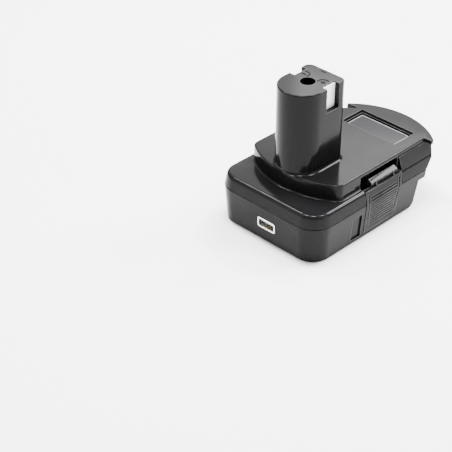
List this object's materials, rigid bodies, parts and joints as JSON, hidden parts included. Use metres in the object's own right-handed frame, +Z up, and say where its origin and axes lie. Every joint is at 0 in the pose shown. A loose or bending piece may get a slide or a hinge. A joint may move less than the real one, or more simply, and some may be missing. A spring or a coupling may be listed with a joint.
{
  "type": "tool battery adapter",
  "caption": "Black battery adapter: a channel below takes a slide-on pack, a hollow stem with side contacts plugs into a tool, with squeeze latches and a USB-A port.",
  "frame": {"origin": "middle of the base's box, on the plane it stands on", "axes": "+X to the right-hand latch, +Y to the rear cap, away from the charging port, +Z up the stem"},
  "size_m": [0.0828, 0.121, 0.0963],
  "materials": {
    "housing": "moulded ABS, fine satin skin with a polished sheen",
    "latch_plastic": "moulded ABS with grip ribs",
    "insulator": "moulded nylon",
    "nickel": "nickel-plated strip",
    "screw_steel": "zinc-plated steel",
    "pin_steel": "ground steel",
    "spring_steel": "spring wire",
    "blade_brass": "tinned brass blade",
    "circuit_board": "glass-fibre board with solder mask",
    "port_steel": "bright nickel-plated sheet",
    "port_insulator": "moulded white insulator",
    "port_contacts": "gold-flashed springs",
    "ferrite": "ferrite drum",
    "capacitor_can": "sleeved can",
    "chip_resin": "moulded resin",
    "red_lead": "PVC insulation",
    "black_lead": "PVC insulation"
  },
  "bodies": {
    "housing": {"lower_shell": "housing", "upper_cover": "housing", "contact_carrier": "insulator", "contact_left": "nickel", "contact_right": "nickel", "stem_screw": "screw_steel", "latch_pin_left": "pin_steel", "latch_pin_right": "pin_steel", "latch_spring_left": "spring_steel", "latch_spring_right": "spring_steel", "terminal_block": "insulator", "positive_blade": "blade_brass", "negative_blade": "blade_brass", "usb_board": "circuit_board", "usb_shell": "port_steel", "usb_tongue": "port_insulator", "usb_contacts": "port_contacts", "inductor": "ferrite", "capacitors": "capacitor_can", "regulator_chip": "chip_resin", "wire_positive": "red_lead", "wire_negative": "black_lead", "usb_wire_positive": "red_lead", "usb_wire_negative": "black_lead", "housing_screws": "screw_steel"},
    "latch_right": {"latch_right": "latch_plastic"},
    "latch_left": {"latch_left": "latch_plastic"}
  },
  "joints": [
    {"name": "latch_right_squeeze", "type": "hinge", "parent": "housing", "child": "latch_right", "pos_m": [0.0337, 0.0023, 0.007], "axis": [0, -1, 0], "range_deg": [0, 7.5], "stiffness_Nm_per_rad": 0.4, "springref_deg": -4.58, "deforming": ["latch_spring_right"]},
    {"name": "latch_left_squeeze", "type": "hinge", "parent": "housing", "child": "latch_left", "pos_m": [-0.0337, 0.0023, 0.007], "axis": [0, 1, 0], "range_deg": [0, 7.5], "stiffness_Nm_per_rad": 0.4, "springref_deg": -4.58, "deforming": ["latch_spring_left"]}
  ]
}
